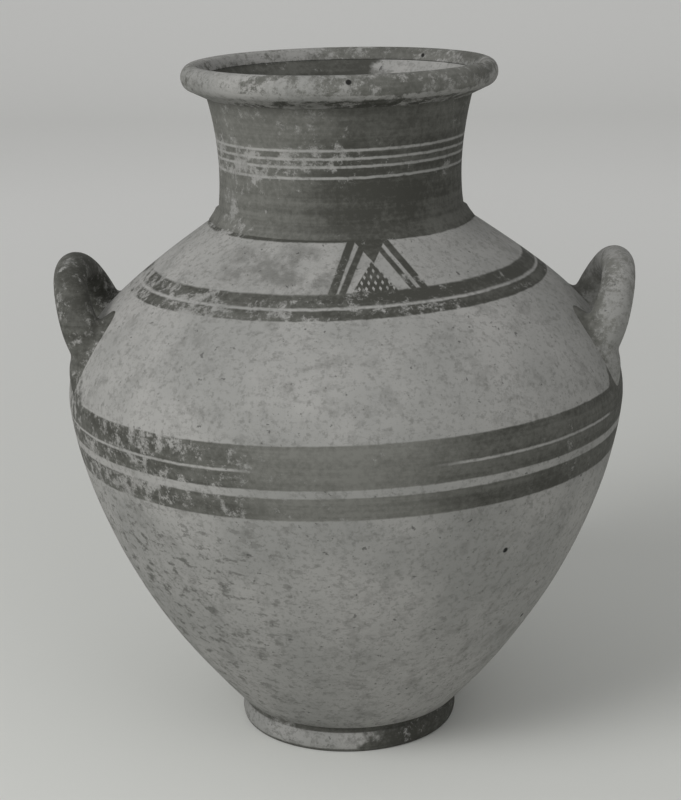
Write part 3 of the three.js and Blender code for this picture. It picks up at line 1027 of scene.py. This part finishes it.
def lamp(name, place, power, size, target):
    """A soft square lamp turned to the jar."""
    data = bpy.data.lights.new(name, "AREA")
    data.energy = power
    data.size = size
    light = bpy.data.objects.new(name, data)
    light.location = place
    light.rotation_euler = (Vector(target) - Vector(place)).to_track_quat("-Z", "Y").to_euler()
    bpy.context.scene.collection.objects.link(light)


class JAR_OT_stage(bpy.types.Operator):
    """Builds the floor, the soft light and the camera"""

    bl_idname = "jar.stage"
    bl_label = "Stage"

    def execute(self, context):
        scene = context.scene
        sweep = points((-CARD_HALF_WIDTH, 0)) + cubic(*CARD_SWEEP, 40)
        mesh = bmesh.new()
        verts = [mesh.verts.new((-CARD_HALF_WIDTH, p.x, p.y)) for p in sweep]
        edges = [mesh.edges.new(pair) for pair in zip(verts, verts[1:])]
        made = bmesh.ops.extrude_edge_only(mesh, edges=edges)["geom"]
        far_side = [part for part in made if isinstance(part, bmesh.types.BMVert)]
        bmesh.ops.translate(mesh, verts=far_side, vec=(2 * CARD_HALF_WIDTH, 0, 0))
        for face in mesh.faces:
            face.smooth = True
        data = bpy.data.meshes.new("floor")
        mesh.to_mesh(data)
        mesh.free()
        data.materials.append(plain_floor(scene.jar_colours))
        floor = bpy.data.objects.new("floor", data)
        scene.collection.objects.link(floor)
        world = bpy.data.worlds.new("soft studio")
        world.use_nodes = True
        colour_of_sky, strength = world.node_tree.nodes["Background"].inputs[:2]
        colour_of_sky.default_value = (1, 1, 1, 1)
        strength.default_value = WORLD_STRENGTH
        scene.world = world
        lamp("window light", WINDOW_PLACE, WINDOW_POWER, WINDOW_SIZE, WINDOW_TARGET)
        lamp("fill light", FILL_PLACE, FILL_POWER, FILL_SIZE, FILL_TARGET)
        data = bpy.data.cameras.new("camera")
        data.sensor_fit = "VERTICAL"
        data.sensor_height = CAMERA_SENSOR
        data.lens = CAMERA_LENS
        data.shift_x = CAMERA_SHIFT
        camera = bpy.data.objects.new("camera", data)
        place = Vector(CAMERA_PLACE)
        turn = (Vector(CAMERA_TARGET) - place).to_track_quat("-Z", "Y").to_matrix()
        camera.rotation_euler = (turn @ Matrix.Rotation(CAMERA_ROLL, 3, "Z")).to_euler()
        camera.location = place
        scene.collection.objects.link(camera)
        scene.camera = camera
        scene.view_settings.view_transform = "Standard"
        return {"FINISHED"}


class JAR_PT_panel(bpy.types.Panel):
    """Lists the jar's pieces and settings"""

    bl_label = "Storage jar"
    bl_idname = "JAR_PT_panel"
    bl_space_type = "VIEW_3D"
    bl_region_type = "UI"
    bl_category = "Jar"

    def draw(self, context):
        for group in (context.scene.jar_sizes, context.scene.jar_colours):
            for name in group.__annotations__:
                self.layout.prop(group, name)
        for operator in OPERATORS:
            self.layout.operator(operator.bl_idname)


OPERATORS = (JAR_OT_foot, JAR_OT_body, JAR_OT_neck, JAR_OT_rim, JAR_OT_handles, JAR_OT_stage)
CLASSES = (JarSizes, JarColours) + OPERATORS + (JAR_PT_panel,)


def register():
    """Adds the classes and the scene's settings to Blender."""
    for cls in CLASSES:
        bpy.utils.register_class(cls)
    bpy.types.Scene.jar_sizes = bpy.props.PointerProperty(type=JarSizes)
    bpy.types.Scene.jar_colours = bpy.props.PointerProperty(type=JarColours)


def unregister():
    """Takes them away again."""
    del bpy.types.Scene.jar_sizes
    del bpy.types.Scene.jar_colours
    for cls in reversed(CLASSES):
        bpy.utils.unregister_class(cls)


def main():
    """Builds every piece in order."""
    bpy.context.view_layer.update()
    register()
    bpy.ops.jar.foot()
    bpy.ops.jar.body()
    bpy.ops.jar.neck()
    bpy.ops.jar.rim()
    bpy.ops.jar.handles()
    bpy.ops.jar.stage()


if __name__ == "__main__":
    main()
